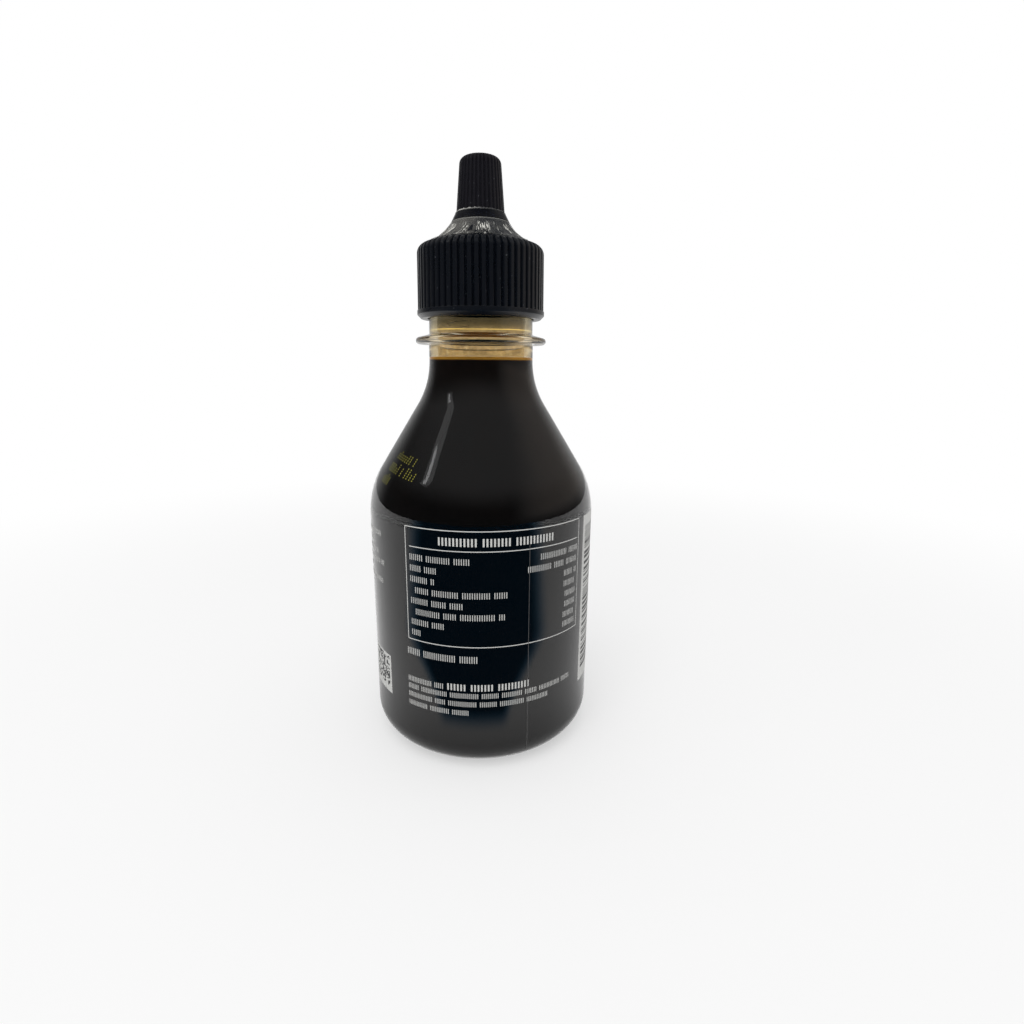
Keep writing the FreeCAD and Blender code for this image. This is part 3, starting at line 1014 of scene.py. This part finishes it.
# Hatching for the rows: height, weight, gap, and gap between groups, in millimetres.
TITLE = (2.3, 0.42, 0.42, 0.9)
HEADING = (2.1, 0.40, 0.40, 0.9)
PANEL = (1.8, 0.20, 0.35, 0.7)
NOTE = (2.1, 0.22, 0.34, 0.8)
LEAD = (1.7, 0.2, 0.3, 0.6)
LOWER = (1.6, 0.19, 0.28, 0.6)
SIDE = (1.6, 0.2, 0.3, 0.6)
# Rows of print: where a row starts and ends along the side, and its foot, in millimetres.
LEFT_ROWS = (
    (-17.7, -2.5, 53.4), (-17.7, -10.7, 50.73), (-17.7, -11.3, 48.06), (-16.4, 6.1, 45.39),
    (-17.7, -4.3, 42.72), (-16.4, 5.4, 40.05), (-17.7, -9.0, 37.38), (-17.7, -14.8, 34.71),
)
RIGHT_ROWS = (
    (14.0, 26.5, 53.6), (10.7, 26.5, 50.9), (21.4, 26.4, 48.06), (21.4, 26.4, 45.39),
    (21.9, 26.4, 42.72), (21.9, 26.4, 40.05), (21.4, 26.4, 37.38), (21.4, 26.4, 34.9),
)
LOWER_ROWS = ((-19.4, 24.6, 20.2), (-19.4, 17.0, 18.0), (-19.4, -3.2, 15.7))
SIDE_ROWS = (
    (-60.0, -27.6, 56.6), (-60.0, -33.0, 54.2), (-60.0, -30.5, 51.8), (-60.0, -27.3, 49.4),
    (-60.0, -35.0, 47.0), (-60.0, -27.9, 44.6), (-60.0, -41.0, 42.2),
)


class SAUCE_OT_print(bpy.types.Operator):
    """Print the ruled panel, the rows of strokes and the two white patches"""

    bl_idname = "sauce.print"
    bl_label = "Print"

    def execute(self, context):
        sizes = settings_of(context).bottle
        settings = settings_of(context).print
        draw = random.Random(settings.seed)
        white = ink("white_ink", settings.white)
        line = settings.line

        panel = Print(sizes, settings.lift)
        left, right, low, high = (n * MM for n in (-18.9, 27.2, 33.45, 61.25))
        for place in (low, high):
            panel.patch(left, right, place - line / 2, place + line / 2)
        for place in (left, right):
            panel.patch(place - line / 2, place + line / 2, low, high)
        rule = 56.6 * MM
        panel.patch(left + 1.1 * MM, right - 0.7 * MM, rule - line / 2, rule + line / 2)
        panel.make("panel_lines", white)

        title = Print(sizes, settings.lift)
        title.strokes(draw, (-10.0, 18.5, 57.75), TITLE)
        title.strokes(draw, (-8.5, 11.7, 22.15), HEADING)
        title.make("heading_strokes", white)

        rows = Print(sizes, settings.lift)
        for hatch, places in (
            (PANEL, (*LEFT_ROWS, *RIGHT_ROWS)), (NOTE, ((-19.3, -1.1, 29.4),)),
            (LEAD, ((-19.4, -9.2, 22.15),)), (LOWER, LOWER_ROWS), (SIDE, SIDE_ROWS),
        ):
            for place in places:
                rows.strokes(draw, place, hatch)
        rows.make("row_strokes", white)

        patches = Print(sizes, settings.lift * 0.6)
        patches.patch(29.9 * MM, 54.5 * MM, 16.2 * MM, 61.2 * MM)
        patches.patch(-37.0 * MM, -26.5 * MM, 15.4 * MM, 25.9 * MM)
        patches.make("white_patches", white)

        bars = Print(sizes, settings.lift)
        place = 19.5 * MM
        while place < 58.6 * MM:
            weight = draw.choice((0.26, 0.26, 0.52, 0.78)) * MM
            bars.patch(31.3 * MM, 52.0 * MM, place, place + weight)
            place += weight + draw.choice((0.3, 0.3, 0.55, 0.8)) * MM
        cell = 0.42 * MM
        for column in range(21):
            for row in range(20):
                if draw.random() < 0.48:
                    x = -36.2 * MM + column * cell
                    y = 17.0 * MM + row * cell
                    bars.patch(x, x + cell, y, y + cell)
        bars.make("patch_bars", ink("dark_ink", settings.dark))
        return {"FINISHED"}


class SAUCE_OT_date_dots(bpy.types.Operator):
    """Spray the rows of small dots on the left of the shoulder"""

    bl_idname = "sauce.date_dots"
    bl_label = "Sprayed dots"

    def execute(self, context):
        sizes = settings_of(context).bottle
        settings = settings_of(context).print
        draw = random.Random(settings.seed + 1)
        dots = Print(sizes, settings.lift)
        for start, end, base, fall in (
            (-29.6, -19.2, 75.2, 1.3), (-31.2, -18.4, 72.4, 1.5), (-32.4, -28.2, 69.6, 0.5),
        ):
            across = start
            while across < end:
                foot = base - fall * (across - start) / (end - start)
                for row in range(draw.randint(3, 5)):
                    dots.dot((across + 0.18 * row) * MM, (foot + 0.48 * row) * MM, 0.15 * MM)
                across += draw.choice((1.15, 1.15, 1.15, 2.0))
        dots.make("date_dots", ink("date_ink", settings.date))
        return {"FINISHED"}


def light_path(finish):
    """Return whether a ray comes from the camera, a glossy bounce or a clear one."""
    path = finish.node("LightPath").socket.node
    return tuple(
        Value(finish, path.outputs[name])
        for name in ("Is Camera Ray", "Is Glossy Ray", "Is Transmission Ray")
    )


class SAUCE_OT_studio(bpy.types.Operator):
    """Set up the floor, the soft light, the pale surroundings and the camera"""

    bl_idname = "sauce.studio"
    bl_label = "Studio"

    def execute(self, context):
        studio = settings_of(context).studio
        scene = context.scene
        floor = add_object(
            "floor", [(-1.5, -1.5, 0), (1.5, -1.5, 0), (1.5, 1.5, 0), (-1.5, 1.5, 0)],
            [(0, 1, 2, 3)],
        )
        finish = new_material("pale_floor")
        x, y = finish.axes(finish.place())[:2]
        camera_ray, glossy_ray, clear_ray = light_path(finish)
        # A dark card lies around the front, under the camera; only mirrored rays show it.
        distance = (x * x + y * y) ** 0.5
        turn = x.math("ARCTAN2", y * -1) + 0.12
        width = 0.40 + distance.above(0.044, 0.105) * 0.65
        card = distance.above(0.044, 0.056) * (turn / width).within(1.0, 0.18)
        # Painted shadow: in mirrored rays the floor darkens near the bottle, standing for the
        # contact shadow that its glow does not show.
        mirrored_shadow = 1 - distance.above(0.028, 0.060)
        mirrored = (1 - card * 0.90) * (1 - mirrored_shadow * 0.45)
        matt = finish.node("BsdfDiffuse", {}, {"Color": studio.floor})
        strength = (1 - glossy_ray) + glossy_ray * mirrored
        shade = finish.mixed(card * glossy_ray, (1.0, 1.0, 1.0), (0.10, 0.55, 1.0))
        shade = finish.mixed(strength, (0.0, 0.0, 0.0), shade)
        glow = finish.node("Emission", {}, {"Color": shade, "Strength": 1.0})
        far = distance.above(0.12, 0.40)
        seen = camera_ray * (0.5 + far * 0.5)
        factor = seen.math("MAXIMUM", glossy_ray).math("MAXIMUM", clear_ray)
        both = finish.node("MixShader", {}, {0: factor, 1: matt, 2: glow})
        floor.data.materials.append(finish.finish(both))

        world = bpy.data.worlds.new("studio")
        scene.world = world
        finish = Finish(world)
        camera_ray, glossy_ray, clear_ray = light_path(finish)
        east, north, up = finish.axes(finish.place("Generated"))
        backdrop = north.above(0.35, 0.95) * (1 - up.above(0.25, 0.60))
        ceiling = up.above(0.25, 0.80) * (1 - up.above(0.84, 0.93) * 0.7) * 0.26
        side = east.above(0.45, 0.95) * up.above(-0.1, 0.2) * 0.35
        mirrored = studio.room + ceiling + side + backdrop * 0.5
        seen = camera_ray.math("MAXIMUM", clear_ray)
        strength = studio.ambient * (1 - seen) * (1 - glossy_ray)
        strength = strength + seen + glossy_ray * (1 - seen) * mirrored
        warm = finish.mixed(side * glossy_ray, (1.0, 1.0, 1.0), (1.0, 0.72, 0.50))
        background = finish.node(
            "Background", {}, {"Color": warm, "Strength": strength}
        )
        finish.finish(background, "OutputWorld")

        # Azimuth and rise in degrees, distance and size in metres, power, seen in gloss.
        for name, azimuth, rise, far, size, power, in_gloss in (
            ("window", -73.0, 38.0, 0.9, (0.045, 0.13), 0.05, True),
            ("window_haze", -72.0, 42.0, 0.95, (0.16, 0.32), 0.10, True),
            ("fill", -15.0, 55.0, 1.0, (0.8, 0.8), 4.6, False),
        ):
            light = bpy.data.lights.new(name, "AREA")
            light.shape = "RECTANGLE"
            light.size, light.size_y = size
            light.energy = power
            lamp = bpy.data.objects.new(name, light)
            turn, rise = math.radians(azimuth), math.radians(rise)
            aim = Vector((0.0, 0.0, 0.08))
            way = Vector((
                math.sin(turn) * math.cos(rise), -math.cos(turn) * math.cos(rise), math.sin(rise)
            ))
            lamp.location = aim + way * far
            lamp.rotation_euler = way.to_track_quat("Z", "Y").to_euler()
            lamp.visible_glossy = in_gloss
            lamp.visible_transmission = in_gloss
            scene.collection.objects.link(lamp)

        data = bpy.data.cameras.new("camera")
        data.lens = studio.lens
        data.sensor_width = 36.0
        data.clip_start = 0.01
        camera = bpy.data.objects.new("camera", data)
        forward = Vector((
            math.sin(studio.yaw) * math.cos(studio.pitch),
            math.cos(studio.yaw) * math.cos(studio.pitch),
            -math.sin(studio.pitch),
        ))
        across = forward.cross(Vector((0.0, 0.0, 1.0))).normalized()
        up = across.cross(forward)
        side = across * math.cos(studio.roll) + up * math.sin(studio.roll)
        top = up * math.cos(studio.roll) - across * math.sin(studio.roll)
        turn = Matrix((side, top, -forward)).transposed().to_4x4()
        camera.matrix_world = Matrix.Translation((0.0, -studio.distance, studio.height)) @ turn
        scene.collection.objects.link(camera)
        scene.camera = camera
        scene.view_settings.view_transform = "Standard"
        return {"FINISHED"}


class SAUCE_PT_panel(bpy.types.Panel):
    """Lists the pieces of the sauce bottle"""

    bl_idname = "SAUCE_PT_panel"
    bl_label = "Sauce Bottle"
    bl_space_type = "VIEW_3D"
    bl_region_type = "UI"
    bl_category = "Sauce Bottle"

    def draw(self, context):
        for operator in OPERATORS:
            self.layout.operator(operator.bl_idname)


OPERATORS = (
    SAUCE_OT_studio, SAUCE_OT_bottle, SAUCE_OT_sauce, SAUCE_OT_screw_cap,
    SAUCE_OT_tip_cap, SAUCE_OT_film, SAUCE_OT_print, SAUCE_OT_date_dots,
)
GROUPS = (
    BottleSettings, SauceSettings, CapSettings, TipSettings,
    FilmSettings, PrintSettings, StudioSettings, SauceBottleSettings,
)
CLASSES = (*GROUPS, *OPERATORS, SAUCE_PT_panel)


def register():
    """Register the classes and the settings."""
    for item in CLASSES:
        bpy.utils.register_class(item)
    bpy.types.Scene.sauce_bottle = PointerProperty(type=SauceBottleSettings)


def unregister():
    """Remove the settings and the classes."""
    del bpy.types.Scene.sauce_bottle
    for item in reversed(CLASSES):
        bpy.utils.unregister_class(item)


def main():
    """Register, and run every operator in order."""
    register()
    for operator in OPERATORS:
        group, name = operator.bl_idname.split(".")
        getattr(getattr(bpy.ops, group), name)()


if __name__ == "__main__":
    main()
